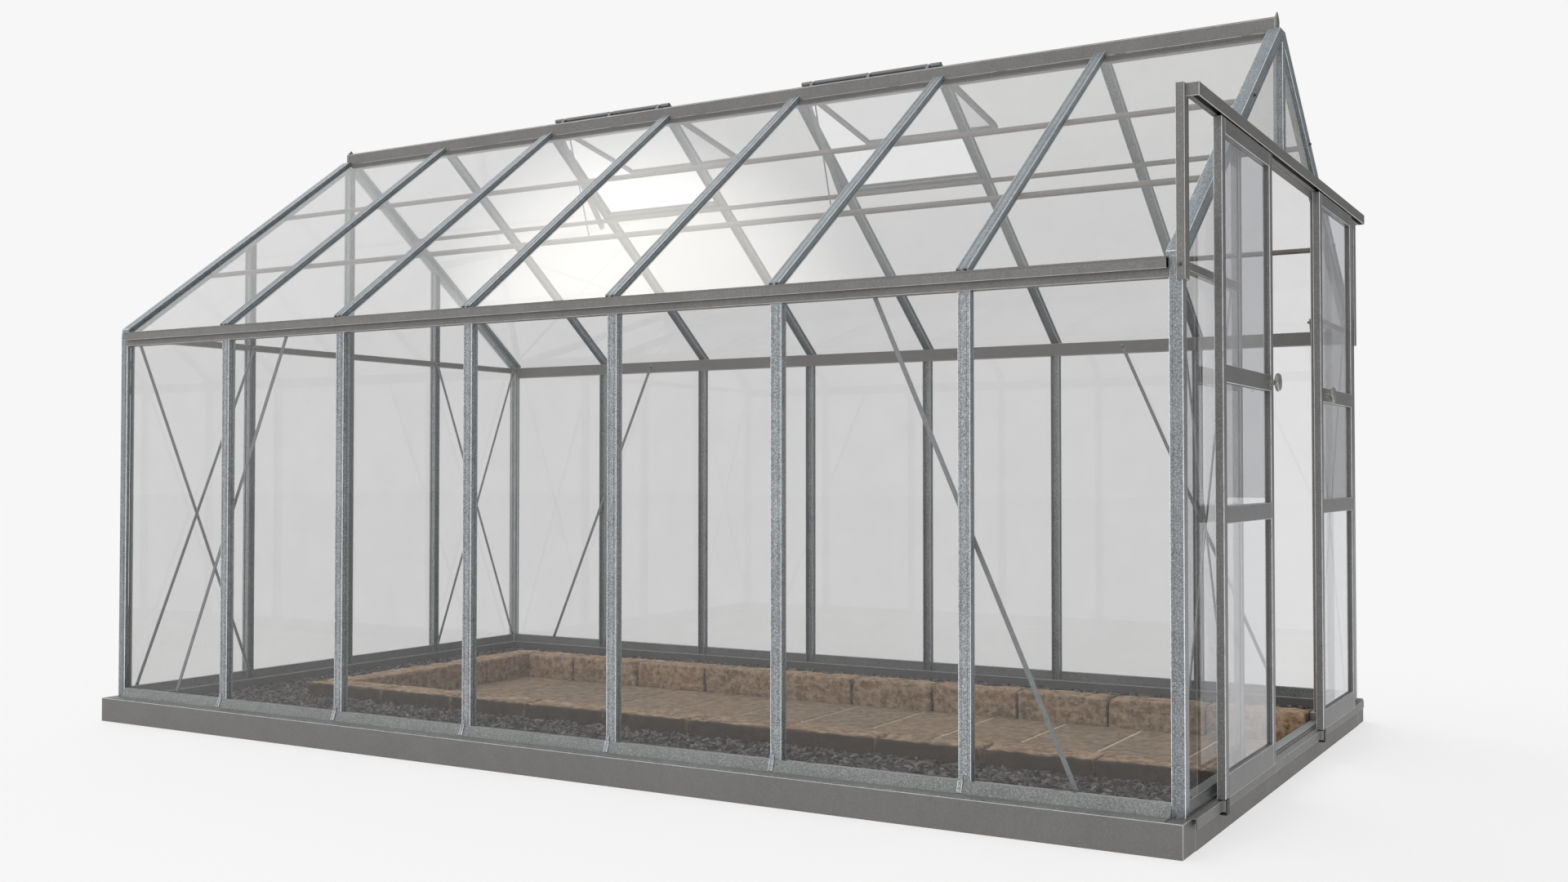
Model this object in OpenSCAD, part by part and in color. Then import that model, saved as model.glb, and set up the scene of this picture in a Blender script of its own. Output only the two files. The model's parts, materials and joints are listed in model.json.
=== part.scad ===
// Walk-in apex greenhouse on a base plinth, with a pair of sliding doors in one gable,
// two ridge-hung roof vents, gravel beds and a kerbed stone path. Millimetres.
// X runs along the ridge (doors at +X), Y across, Z up; the ground is Z = 0.

/* [Overall] */
// Pitch of the glazing bars along the long walls
bay = 620; // [560:5:700]
// Number of bays along each long wall
bays = 7; // [6:1:9]
// Distance between the outer glass faces of the two long walls
wall_w = 2400; // [2100:10:2700]
// Height of the eave bar's top above the ground
eave_h = 1565; // [1450:5:1750]
// Roof pitch in degrees
pitch = 37; // [32:0.5:40]

/* [Base] */
// Height of the base plinth
base_h = 92; // [70:1:140]
// Sheet thickness of the plinth channels
base_t = 4; // [3:0.5:6]
// Width of the plinth ledge outside the long walls
side_ledge = 80; // [60:1:110]
// Width of the plinth ledge outside the gables
end_ledge = 24; // [18:1:40]
// Height of the sills above the plinth
sill_h = 36; // [24:1:48]

/* [Glazing] */
// Thickness of every glass pane
glass_t = 4; // [3:0.5:6]
// Clearance between a pane's edge and the web beside it
glass_gap = 1; // [0.5:0.25:2]
// Width of a glazing bar's outer cap
cap_w = 38; // [30:1:46]
// Depth of the outer cap in front of the glass
cap_d = 11; // [8:0.5:14]
// Width of a bar's web between two panes
web_w = 8; // [6:1:10]
// Width of a bar's inner channel
inner_w = 34; // [26:1:40]
// Depth of a wall bar's inner channel behind the glass
inner_d = 20; // [14:1:26]
// Depth of a roof bar's inner channel behind the glass
roof_inner_d = 14; // [10:1:18]
// Wall thickness of the bars and tubes
wall_t = 3; // [2:0.5:4]

/* [Frame] */
// Side length of the corner posts
post_w = 38; // [30:1:46]
// Height of the eave bar
eave_bar_h = 54; // [44:1:64]
// Overhang of the eave bar outside the long wall's glass
eave_out = 35; // [25:1:45]
// Half width of the ridge bar
ridge_half = 24; // [20:1:30]
// Height of the ridge bar
ridge_bar_h = 76; // [64:1:90]
// Depth of the gable rafters below the glass
rafter_d = 35; // [28:1:42]
// Distance of the gable posts and door jambs from the centre line
post_y = 580; // [520:5:600]
// Radius of the purlin tubes
purlin_r = 10; // [8:0.5:12]
// Width of the flat diagonal braces
brace_w = 14; // [10:1:20]
// Thickness of the flat diagonal braces
brace_t = 3; // [2:0.5:4]

/* [Doors] */
// Width of each sliding door
door_w = 598; // [540:1:620]
// Height of the door's underside above the ground
door_bottom = 100; // [96:1:120]
// Thickness of the door frame
door_t = 25; // [20:1:28]
// Width of the door stiles
stile_w = 35; // [28:1:44]
// Distance each door is slid open from the centre line
door_open = 360; // [200:5:500]
// Diameter of the door knobs
knob_d = 56; // [40:1:64]

/* [Vents] */
// Opening angle of the roof vents in degrees
vent_open = 26.7; // [10:0.1:32]
// Clearance between a vent frame's side and the middle of the bar beside it
vent_gap = 10; // [8:1:20]
// Length of each vent frame down the slope
vent_l = 521; // [480:1:560]

/* [Floor] */
// Height of the kerb stones' top above the ground
kerb_h = 130; // [100:1:160]
// Thickness of the kerb stones
kerb_w = 138; // [100:1:180]
// Outer width of the kerbed path
path_w = 1370; // [1200:10:1500]
// Shift of the path along Y from the middle of the house
path_y = -30; // [-100:5:100]
// Depth of the bed across the back of the house
end_bed = 493; // [300:1:700]
// Length of one kerb stone
kerb_l = 372; // [300:1:420]
// Depth of the gravel in the beds
gravel_h = 58; // [40:1:85]

/* [Hidden] */
$fn = 48;

big = 6000;
cp = cos(pitch);
sp = sin(pitch);
tp = tan(pitch);
// long walls, gables and base outline
wy = wall_w / 2;
gx = bays * bay / 2 - 6;
by = wy + side_ledge;
bx = gx + end_ledge;
sill_z = base_h + sill_h;
long_rail_w = side_ledge + 32;
end_rail_w = end_ledge + 36;
in_y = by - long_rail_w;
in_x = bx - end_rail_w;
post_out_y = wy + post_w - glass_t - inner_d;
post_in_y = post_out_y - post_w;
post_out_x = gx + 12;
post_in_x = post_out_x - post_w;
eave_z0 = eave_h - eave_bar_h;
eave_lip = 22;
// roof planes: roof_z is where the outer glass face would meet Y = 0
bar_foot = wy + 22;
roof_z = eave_h + (wy + 10) * tp + glass_t / cp;
ridge_z1 = roof_z + 34;
ridge_z0 = ridge_z1 - ridge_bar_h;
glass_s0 = (ridge_half + 1 + glass_t * sp) / cp;
glass_s1 = (wy + 10 + glass_t * sp) / cp;
purlin_n = -glass_t - roof_inner_d - purlin_r;
purlin_s1 = 0.34 * glass_s1;
purlin_s2 = 0.6765 * glass_s1;
under_z = roof_z - rafter_d / cp;
apex_cut = roof_z - 12;
// door gable
header_z1 = under_z - (post_y - 15) * tp - 0.5;
header_z0 = header_z1 - 15;
door_top = header_z0 - 13.7;
jamb_w = 30;
track_x0 = post_out_x + 8;
track_x1 = track_x0 + 36;
track_t = 4;
track_z0 = door_top + 3;
track_z1 = track_z0 + 37;
track_l = wall_w + 10;
door_x0 = track_x0 + 6;
door_x1 = door_x0 + door_t;
hang_inset = 62;
lip_w = 11;
roller_r = 10;
roller_t = 7;
roller_x0 = track_x0 + track_t + 2.6;
pin_r = 3;
pin_gap = 0.06;
roller_z = track_z0 + track_t + roller_r + 0.3;
rail_top = 44;
rail_mid = 50;
rail_bot = 66;
mid_z1 = door_bottom + 0.4004 * (door_top - door_bottom);
mid_z2 = door_bottom + 0.6086 * (door_top - door_bottom);
// vents, in roof coordinates: s down the slope, n out of the glass
vent_w = bay - 2 * vent_gap;
vent_s0 = 30;
vent_n0 = cap_d + 1.5;
vent_n1 = vent_n0 + 20;
vent_bar = 18;
sill_s0 = vent_s0 + vent_l - 62;
sill_s1 = sill_s0 + 52;
hinge_y = 16;
hinge_z = ridge_z1 + 15;
hinge_r = 4;
hinge_s = hinge_y * cp - (hinge_z - roof_z) * sp;
hinge_n = hinge_y * sp + (hinge_z - roof_z) * cp;
lug_l = 12;
lug_x = vent_w / 2 - 50;
arm_y = 38;
arm_z = ridge_z0 + 12;
arm_l = 455;
arm_w = 36;
arm_t = 4;
arm_angle = 50.5;
arm_x = bay / 2 - cap_w / 2 - 13;
arm_neck = 11;
stay_x = bay / 2 - cap_w / 2 - 4;
stay_r = 2.5;
// floor
bed_t = 4;
slab_t = 16;
path_x1 = in_x - 1;
path_x0 = -in_x + end_bed;
path_y0 = path_y - path_w / 2;
path_y1 = path_y + path_w / 2;
kerb_n = max(2, round((path_x1 - path_x0) / kerb_l));
joint = 5;
// assembly seam between members that are screwed together
seam = 0.3;

module box(x0, x1, y0, y1, z0, z1) {
  translate([x0, y0, z0])
    cube([x1 - x0, y1 - y0, z1 - z0]);
}
module both_y() {
  children();
  mirror([0, 1, 0])
    children();
}
module both_x() {
  children();
  mirror([1, 0, 0])
    children();
}
// profile drawn in Y (right) and Z (up), run along X from x0 to x1
module along_x(x0, x1) {
  translate([x0, 0, 0])
    rotate([90, 0, 90])
      linear_extrude(height = x1 - x0)
        children();
}
// profile drawn in X (right) and Z (up), run along Y from y0 to y1
module along_y(y0, y1) {
  translate([0, y1, 0])
    rotate([90, 0, 0])
      linear_extrude(height = y1 - y0)
        children();
}
// far roof slope: local Y runs down the slope, local Z out of the glass
module far_slope() {
  translate([0, 0, roof_z])
    rotate([-pitch, 0, 0])
      children();
}
// glazing bar section: x across, y out of the glass
module bar_section(depth) {
  difference() {
    union() {
      translate([-cap_w / 2, 0])
        square([cap_w, cap_d]);
      translate([-web_w / 2, -glass_t - wall_t])
        square([web_w, glass_t + wall_t + 1]);
      translate([-inner_w / 2, -glass_t - depth])
        square([inner_w, depth]);
    }
    translate([web_w / 2, -1])
      square([(cap_w - web_w) / 2 - wall_t, cap_d + 1 - wall_t]);
    translate([-cap_w / 2 + wall_t, -1])
      square([(cap_w - web_w) / 2 - wall_t, cap_d + 1 - wall_t]);
    translate([-inner_w / 2 + wall_t, -glass_t - depth - 1])
      square([inner_w - 2 * wall_t, depth + 1 - wall_t]);
    translate([-cap_w / 4 - 1.25, cap_d - 1])
      square([2.5, 2]);
    translate([cap_w / 4 - 1.25, cap_d - 1])
      square([2.5, 2]);
  }
}
// upright of the sill, with the glass on its top and the foot tabs of the bars down its outer face
sill_in = wy - 10;
sill_foot = base_h + 3;
sill_a = [wy + 12.5, sill_z];
sill_c = [wy + 26, sill_foot];
tab_w = 15;
tab_t = 3;
// the inner flanges of a bar run on down to the base in front of the sill
module bar_legs(depth) {
  intersection() {
    bar_section(depth);
    translate([-inner_w, -glass_t - depth])
      square([2 * inner_w, depth - 10 + glass_t - seam]);
  }
}
module wall_bar(x) {
  translate([x, wy, sill_z])
    linear_extrude(height = eave_z0 - sill_z)
      bar_section(inner_d);
  translate([x, wy, base_h])
    linear_extrude(height = sill_z - base_h + 1)
      bar_legs(inner_d);
  along_x(x - cap_w / 2, x - cap_w / 2 + tab_w)
    polygon([[wy + cap_d - 1, sill_z], sill_a, [sill_c[0], sill_c[1] + 2], [sill_c[0] + tab_t, sill_c[1] + 2],
      [sill_a[0] + tab_t, sill_z + 1], [wy + cap_d + 2, sill_z + 18], [wy + cap_d - 1, sill_z + 18]]);
}
module far_bars() {
  for (k = [1 : bays - 1])
    wall_bar((k - bays / 2) * bay);
}
// vertical and level planes that trim every roof bar
module roof_trim(foot) {
  box(-big, big, -big, ridge_half, 0, big);
  box(-big, big, 900, big, 0, eave_h);
  box(-big, big, foot, big, 0, big);
}
module far_rafters() {
  for (k = [1 : bays - 1])
    difference() {
      far_slope()
        translate([(k - bays / 2) * bay, 0, 0])
          rotate([-90, 0, 0])
            linear_extrude(height = big / 2)
              mirror([0, 1])
                bar_section(roof_inner_d);
      roof_trim(bar_foot);
    }
}
// space below the gable rafters, for trimming posts and panes
module under_rafters(x0, x1) {
  along_x(x0, x1)
    polygon([[-wy, 0], [wy, 0], [wy, under_z - wy * tp], [0, under_z], [-wy, under_z - wy * tp]]);
}
module gable_bar(y, z0, z1) {
  intersection() {
    translate([gx, y, z0])
      rotate([0, 0, -90])
        linear_extrude(height = z1 - z0)
          bar_section(inner_d);
    under_rafters(gx - 100, gx + 100);
  }
}
module crossbar(y0, y1) {
  along_y(y0, y1)
    difference() {
      union() {
        translate([gx - glass_t - inner_d, eave_h - 30])
          square([inner_d, 28]);
        translate([gx - glass_t - 1, eave_h - 18])
          square([glass_t + 2, 4]);
        translate([gx, eave_h - 28])
          square([4, 24]);
      }
      translate([gx - glass_t - inner_d + wall_t, eave_h - 30 + wall_t])
        square([inner_d - 2 * wall_t, 28 - 2 * wall_t]);
    }
}
split_z = eave_h - 16;
module gable_pane(y0, y1, z0, z1) {
  intersection() {
    box(gx - glass_t, gx, y0, y1, z0, z1);
    under_rafters(gx - 100, gx + 100);
  }
}
// flat strip between two points of a wall, drawn in the wall's own plane
module strip(a, b, w) {
  v = b - a;
  translate(a)
    rotate(atan2(v[1], v[0]))
      translate([-w, -w / 2])
        square([norm(v) + 2 * w, w]);
}

// ---------------- base ----------------
module base_long_rails() {
  color([0.45, 0.44, 0.43])
    both_y()
      difference() {
        box(-bx, bx, in_y, by, 0, base_h);
        box(-bx + base_t, bx - base_t, in_y + base_t, by - base_t, -1, base_h - base_t);
      }
}
module base_end_rails() {
  color([0.45, 0.44, 0.43])
    both_x()
      along_y(-in_y, in_y)
        difference() {
          translate([in_x, 0])
            square([end_rail_w, base_h]);
          translate([in_x + base_t, -1])
            square([end_rail_w - 2 * base_t, base_h + 1 - base_t]);
        }
}
module long_sills() {
  color([0.60, 0.62, 0.60])
    both_y()
      along_x(-post_in_x, post_in_x)
        polygon([[sill_in, base_h], [by - 5, base_h], [by - 5, sill_foot], [sill_c[0] + 5, sill_foot],
          [sill_c[0] + 5, sill_foot - 2], [sill_c[0] + 1, sill_foot - 2], sill_c, sill_a, [sill_in, sill_z]]);
}
module gable_sills() {
  color([0.60, 0.62, 0.62]) {
    mirror([1, 0, 0])
      along_y(-post_in_y, post_in_y)
        gable_sill_section(gx - 10);
    both_y()
      along_y(post_y - jamb_w / 2, in_y)
        gable_sill_section(in_x);
  }
}
module gable_sill_section(x0) {
  polygon([[x0, base_h], [gx + 8, base_h], [gx + 8, base_h + 8], [gx + 1, sill_z - 4],
    [gx + 1, sill_z], [x0, sill_z]]);
}
module door_threshold() {
  color([0.60, 0.62, 0.62])
    along_y(-post_y + jamb_w / 2, post_y - jamb_w / 2)
      polygon([[in_x, base_h], [gx + 8, base_h], [gx + 8, base_h + 4], [gx, base_h + 12],
        [gx - 12, base_h + 12], [gx - 14, base_h + 8], [in_x, base_h + 8]]);
}

// ---------------- walls ----------------
module corner_posts() {
  color([0.66, 0.68, 0.69])
    both_x()
      both_y()
        translate([0, 0, base_h])
          linear_extrude(height = eave_h - base_h)
            difference() {
              translate([post_in_x, post_in_y])
                square([post_w, post_w]);
              translate([post_in_x + wall_t, post_in_y + wall_t])
                square([post_w - 2 * wall_t, post_w - 2 * wall_t]);
              translate([post_in_x + 9, post_out_y - 1])
                square([2.5, 2]);
            }
}
module far_wall_bars() {
  color([0.68, 0.71, 0.73])
    far_bars();
}
module near_wall_bars() {
  color([0.68, 0.71, 0.73])
    mirror([0, 1, 0])
      far_bars();
}
module eave_bars() {
  color([0.60, 0.59, 0.57])
    both_y()
      along_x(-post_in_x, post_in_x)
        difference() {
          union() {
            translate([post_in_y, eave_z0 + eave_lip])
              square([wy + eave_out - post_in_y, eave_bar_h - eave_lip]);
            translate([post_in_y, eave_z0])
              square([wy + 16 - post_in_y, eave_lip + 1]);
          }
          translate([wy - glass_t, eave_z0 - 1])
            square([glass_t, 18]);
          translate([post_in_y + wall_t, eave_z0 + eave_lip + wall_t])
            square([wy + eave_out - post_in_y - 2 * wall_t, eave_bar_h - eave_lip - 2 * wall_t]);
          translate([wy + eave_out - 1, eave_h - 6])
            square([2, 1.5]);
        }
}
module back_gable_posts() {
  color([0.66, 0.68, 0.70])
    mirror([1, 0, 0])
      for (y = [-post_y, 0, post_y]) {
        gable_bar(y, sill_z, roof_z);
        translate([gx, y, base_h])
          rotate([0, 0, -90])
            linear_extrude(height = sill_z - base_h + 1)
              bar_legs(inner_d);
      }
}
module gable_crossbars() {
  color([0.58, 0.58, 0.57]) {
    mirror([1, 0, 0])
      both_y() {
        crossbar(cap_w / 2, post_y - cap_w / 2);
        crossbar(post_y + cap_w / 2, post_in_y);
      }
    both_y()
      crossbar(post_y + jamb_w / 2, post_in_y);
  }
}
module door_jambs() {
  color([0.62, 0.62, 0.63])
    both_y()
      intersection() {
        translate([0, 0, sill_z])
          linear_extrude(height = roof_z - sill_z)
            difference() {
              translate([gx - glass_t - inner_d, post_y - jamb_w / 2])
                square([inner_d + glass_t + 4, jamb_w]);
              translate([gx - glass_t - inner_d + wall_t, post_y - jamb_w / 2 + wall_t])
                square([inner_d + glass_t + 4 - 2 * wall_t, jamb_w - 2 * wall_t]);
            }
        under_rafters(gx - 100, gx + 100);
      }
}
module door_header() {
  color([0.60, 0.60, 0.60])
    along_y(-post_y + jamb_w / 2, post_y - jamb_w / 2)
      difference() {
        translate([gx - glass_t - inner_d, header_z0])
          square([inner_d + glass_t + 4, header_z1 - header_z0]);
        translate([gx - glass_t - inner_d + wall_t, header_z0 + wall_t])
          square([inner_d + glass_t + 4 - 2 * wall_t, header_z1 - header_z0 - 2 * wall_t]);
      }
}
module door_gable_mullion() {
  color([0.66, 0.68, 0.70])
    gable_bar(0, header_z1, roof_z);
}

// ---------------- roof ----------------
module far_roof_bars() {
  color([0.58, 0.62, 0.64])
    far_rafters();
}
module near_roof_bars() {
  color([0.58, 0.62, 0.64])
    mirror([0, 1, 0])
      far_rafters();
}
module gable_rafters() {
  color([0.52, 0.56, 0.58])
    both_x()
      both_y()
        difference() {
          far_slope()
            rotate([-90, 0, 0])
              translate([0, 0, -100])
                linear_extrude(height = big / 2)
                  mirror([0, 1])
                    rafter_section();
          box(-big, in_apex_x, -big, ridge_half, 0, big);
          box(-big, big, -big, 0.25, 0, big);
          box(-big, big, 0, 100, apex_cut, big);
          box(-big, big, 900, big, 0, eave_h);
          box(-big, big, post_out_y - 0.5, big, 0, big);
        }
}
cap_t = 6;
cap_x = post_in_x + 12;
in_apex_x = cap_x + cap_t + 0.3;
module rafter_section() {
  x1 = post_out_x - 4;
  difference() {
    union() {
      translate([post_in_x, -rafter_d])
        square([x1 - post_in_x, rafter_d + cap_d]);
      translate([post_in_x - 7, 0])
        square([8, cap_d]);
      translate([post_in_x - 12, -glass_t - 4])
        square([13, 4]);
    }
    translate([x1 - 1.5, -rafter_d + 7])
      square([3, 2]);
  }
}
module ridge_section(cut) {
  polygon([[-ridge_half + cut, ridge_z0 + cut], [ridge_half - cut, ridge_z0 + cut],
    [ridge_half - cut, ridge_z1 - 8], [8, ridge_z1 - cut], [-8, ridge_z1 - cut],
    [-ridge_half + cut, ridge_z1 - 8]]);
}
module ridge_bar() {
  color([0.56, 0.55, 0.53])
    along_x(-cap_x, cap_x)
      difference() {
        ridge_section(0);
        ridge_section(wall_t);
        both_grooves(ridge_z0 + 8);
        both_grooves(ridge_z0 + 15);
      }
}
module both_grooves(z) {
  translate([-ridge_half - 1, z])
    square([2.2, 2.5]);
  translate([ridge_half - 1.2, z])
    square([2.2, 2.5]);
}
module ridge_caps() {
  color([0.50, 0.50, 0.49])
    both_x()
      along_x(cap_x, cap_x + cap_t)
        polygon([[-ridge_half, ridge_z0], [ridge_half, ridge_z0], [ridge_half, ridge_z1 - 8],
          [0, ridge_z1 + 16], [-ridge_half, ridge_z1 - 8]]);
}
module purlins() {
  color([0.55, 0.54, 0.52])
    both_y()
      far_slope()
        for (s = [purlin_s1, purlin_s2])
          translate([-post_in_x, s, purlin_n])
            rotate([0, 90, 0])
              difference() {
                cylinder(r = purlin_r, h = 2 * post_in_x);
                translate([0, 0, -1])
                  cylinder(r = purlin_r - 2, h = 2 * post_in_x + 2);
              }
}

// ---------------- braces and fasteners ----------------
module wall_braces() {
  color([0.60, 0.60, 0.60])
    both_x()
      both_y()
        translate([0, post_in_y, 0])
          rotate([90, 0, 0])
            linear_extrude(height = brace_t)
              intersection() {
                strip([(bays / 2 - 1.5) * bay, eave_h - 28], [(bays / 2 - 0.5) * bay, sill_z + 10],
                  brace_w);
                translate([0, sill_z])
                  square([gx, eave_h - 8 - sill_z]);
              }
}
brace_x = gx - glass_t - inner_d;
module gable_brace(x, ya, yb) {
  along_x(x - brace_t, x)
    intersection() {
      strip([ya, eave_h - 20], [yb, sill_z + 10], brace_w);
      translate([post_y - 18, sill_z])
        square([post_in_y - 1 - post_y + 18, eave_h - 6 - sill_z]);
    }
}
module gable_braces() {
  color([0.56, 0.56, 0.56])
    both_x()
      both_y() {
        gable_brace(brace_x, post_in_y - 16, post_y + 12);
        gable_brace(brace_x - brace_t - seam, post_y - 4, post_in_y - 22);
      }
}
module bolt(r) {
  cylinder(r = r, h = 4, $fn = 6);
  translate([0, 0, 3.5])
    cylinder(r = r * 0.6, h = 3.5, $fn = 24);
}
module frame_bolts() {
  color([0.40, 0.40, 0.41]) {
    both_x()
      both_y() {
        translate([(bays / 2 - 1.5) * bay, post_in_y - brace_t, eave_h - 28])
          rotate([90, 0, 0])
            bolt(5.5);
        translate([(bays / 2 - 0.5) * bay, post_in_y - brace_t, sill_z + 10])
          rotate([90, 0, 0])
            bolt(5.5);
        translate([brace_x - 2 * brace_t - seam, post_y - 4, eave_h - 20])
          rotate([0, -90, 0])
            bolt(5.5);
        translate([brace_x - 2 * brace_t - seam, post_in_y - 22, sill_z + 10])
          rotate([0, -90, 0])
            bolt(5.5);
        far_slope()
          for (s = [purlin_s1, purlin_s2])
            translate([post_out_x - 4, s, purlin_n + 18])
              rotate([0, 90, 0])
                bolt(5.5);
      }
    both_y()
      translate([track_x0 - 14, post_out_y + 4, eave_h - 22])
        rotate([-90, 0, 0])
          bolt(5.5);
  }
}

// ---------------- glass ----------------
function pane_x0(k) = k == 0 ? -post_in_x + glass_gap : (k - bays / 2) * bay + web_w / 2 + glass_gap;
function pane_x1(k) = k == bays - 1 ? post_in_x - glass_gap
  : (k + 1 - bays / 2) * bay - web_w / 2 - glass_gap;
module far_panes() {
  for (k = [0 : bays - 1])
    box(pane_x0(k), pane_x1(k), wy - glass_t, wy, sill_z, eave_z0 + 16);
}
module roof_pane(k, s0) {
  translate([pane_x0(k), s0, -glass_t])
    cube([pane_x1(k) - pane_x0(k), glass_s1 - s0, glass_t]);
}
function is_vent(k) = k == 2 || k == bays - 3;
module wall_glass() {
  color([0.82, 0.86, 0.86, 0.35])
    both_y()
      far_panes();
}
module roof_glass() {
  color([0.82, 0.86, 0.86, 0.35]) {
    far_slope()
      for (k = [0 : bays - 1])
        roof_pane(k, is_vent(k) ? sill_s1 : glass_s0);
    mirror([0, 1, 0])
      far_slope()
        for (k = [0 : bays - 1])
          roof_pane(k, glass_s0);
  }
}
module back_gable_glass() {
  in_edge = web_w / 2 + glass_gap;
  color([0.82, 0.86, 0.86, 0.35])
    mirror([1, 0, 0])
      both_y() {
        gable_pane(in_edge, post_y - in_edge, sill_z, split_z - 2);
        gable_pane(in_edge, post_y - in_edge, split_z + 2, roof_z);
        gable_pane(post_y + in_edge, post_in_y - glass_gap, sill_z, split_z - 2);
        gable_pane(post_y + in_edge, post_in_y - glass_gap, split_z + 2, roof_z);
      }
}
module door_gable_glass() {
  color([0.82, 0.86, 0.86, 0.35])
    both_y() {
      gable_pane(post_y + jamb_w / 2, post_in_y - glass_gap, sill_z, split_z - 2);
      gable_pane(post_y + jamb_w / 2, post_in_y - glass_gap, split_z + 2, roof_z);
      gable_pane(web_w / 2 + glass_gap, post_y - jamb_w / 2, header_z1, roof_z);
    }
}

// ---------------- door tracks ----------------
module top_track() {
  color([0.55, 0.54, 0.53]) {
    along_y(-track_l / 2, track_l / 2)
      difference() {
        translate([track_x0, track_z0])
          square([track_x1 - track_x0, track_z1 - track_z0]);
        translate([track_x0 + track_t, track_z0 + track_t])
          square([track_x1 - track_x0 - 2 * track_t, track_z1 - track_z0 - 2 * track_t]);
        translate([track_x0 + track_t + lip_w, track_z0 - 1])
          square([track_x1 - track_x0 - 2 * track_t - lip_w, track_t + 2]);
      }
    both_y()
      along_y(track_l / 2 - 4, track_l / 2)
        translate([track_x0 + 1, track_z0])
          square([track_x1 - track_x0 - 2, track_z1 - track_z0 - 1]);
  }
}
module track_supports() {
  color([0.56, 0.56, 0.55])
    both_y()
      translate([0, 0, eave_h - 62])
        linear_extrude(height = track_z1 - eave_h + 62)
          union() {
            translate([track_x0 - 24, post_out_y])
              square([24, 4]);
            translate([post_out_x, post_in_y])
              square([8, post_w + 4]);
          }
}
module track_brackets() {
  color([0.50, 0.50, 0.50])
    for (y = [-400, 0, 400])
      box(gx + 4, track_x0, y - 15, y + 15, header_z0 + 2, header_z1 - 2);
}
module bottom_track() {
  color([0.62, 0.62, 0.61])
    along_y(-track_l / 2, track_l / 2)
      union() {
        translate([post_out_x, base_h])
          square([door_x0 + 13 - post_out_x, 3]);
        translate([door_x0 + 10, base_h - 26])
          square([3, 27]);
      }
}

// ---------------- doors: drawn with the lower Y edge at 0 ----------------
module stile_section() {
  difference() {
    square([door_t, stile_w]);
    translate([wall_t, wall_t])
      square([door_t - 2 * wall_t, stile_w - 2 * wall_t]);
    translate([door_t / 2 - glass_t / 2, stile_w - wall_t - 1])
      square([glass_t, wall_t + 2]);
  }
}
module door_stiles() {
  translate([door_x0, 0, door_bottom])
    linear_extrude(height = door_top - door_bottom)
      stile_section();
  translate([door_x0, door_w, door_bottom])
    linear_extrude(height = door_top - door_bottom)
      mirror([0, 1])
        stile_section();
}
module door_rail(z0, z1) {
  along_y(stile_w, door_w - stile_w)
    difference() {
      translate([door_x0, z0])
        square([door_t, z1 - z0]);
      translate([door_x0 + wall_t, z0 + wall_t])
        square([door_t - 2 * wall_t, z1 - z0 - 2 * wall_t]);
    }
}
module door_rails() {
  door_rail(door_bottom, door_bottom + rail_bot);
  door_rail(mid_z1, mid_z1 + rail_mid);
  door_rail(mid_z2, mid_z2 + rail_mid);
  door_rail(door_top - rail_top, door_top);
}
module door_pane(z0, z1) {
  gx0 = door_x0 + door_t / 2 - glass_t / 2;
  box(gx0, gx0 + glass_t, stile_w - wall_t, door_w - stile_w + wall_t, z0, z1);
}
module door_panes() {
  door_pane(door_bottom + rail_bot, mid_z1);
  door_pane(mid_z1 + rail_mid, mid_z2);
  door_pane(mid_z2 + rail_mid, door_top - rail_top);
}
module knob(y) {
  translate([door_x1, y, mid_z2 + rail_mid / 2])
    rotate([0, 90, 0])
      rotate_extrude()
        polygon([[0, 0], [11, 0], [11, 3], [8, 4], [8, 20], [knob_d / 2 - 4, 22],
          [knob_d / 2, 25], [knob_d / 2, 30], [knob_d / 2 - 4, 34], [0, 36]]);
}
module hanger(y) {
  box(door_x0 + 10, door_x0 + 14, y - 14, y + 14, door_top, roller_z + 8);
  translate([roller_x0 - 0.4, y, roller_z])
    rotate([0, 90, 0])
      cylinder(r = pin_r, h = door_x0 + 10 - roller_x0 + 0.4);
  translate([roller_x0 - 1.4, y, roller_z])
    rotate([0, 90, 0])
      cylinder(r = 5, h = 1);
  translate([roller_x0 + roller_t + 0.4, y, roller_z])
    rotate([0, 90, 0])
      cylinder(r = 5, h = door_x0 + 10 - roller_x0 - roller_t - 0.4);
}
module roller(y) {
  translate([roller_x0, y, roller_z])
    rotate([0, 90, 0])
      difference() {
        cylinder(r = roller_r, h = roller_t);
        translate([0, 0, -1])
          cylinder(r = pin_r + pin_gap, h = roller_t + 2);
        for (a = [0 : 72 : 288])
          rotate(a)
            translate([6.2, 0, -1])
              cylinder(r = 1.2, h = roller_t + 2, $fn = 24);
      }
}
module guide() {
  gz = door_bottom;
  along_y(2, 30)
    polygon([[door_x0 + 3, gz], [door_x0 + 27, gz], [door_x0 + 27, gz - 43], [door_x0 + 6, gz - 43],
      [door_x0 + 6, gz - 40], [door_x0 + 24, gz - 40], [door_x0 + 24, gz - 3], [door_x0 + 3, gz - 3]]);
}
near_y = -door_w - 1 - door_open;
far_y = 1 + door_open;
module near_door_stiles() {
  color([0.58, 0.58, 0.57])
    translate([0, near_y, 0])
      door_stiles();
}
module near_door_rails() {
  color([0.54, 0.54, 0.54])
    translate([0, near_y, 0])
      door_rails();
}
module near_door_glass() {
  color([0.78, 0.83, 0.86, 0.35])
    translate([0, near_y, 0])
      door_panes();
}
module near_door_knob() {
  color([0.55, 0.54, 0.53])
    translate([0, near_y, 0])
      knob(door_w - hang_inset);
}
module near_door_hangers() {
  color([0.50, 0.50, 0.50])
    translate([0, near_y, 0]) {
      hanger(hang_inset);
      hanger(door_w - hang_inset);
    }
}
module near_door_guide() {
  color([0.30, 0.30, 0.30])
    translate([0, near_y, 0])
      guide();
}
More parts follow.
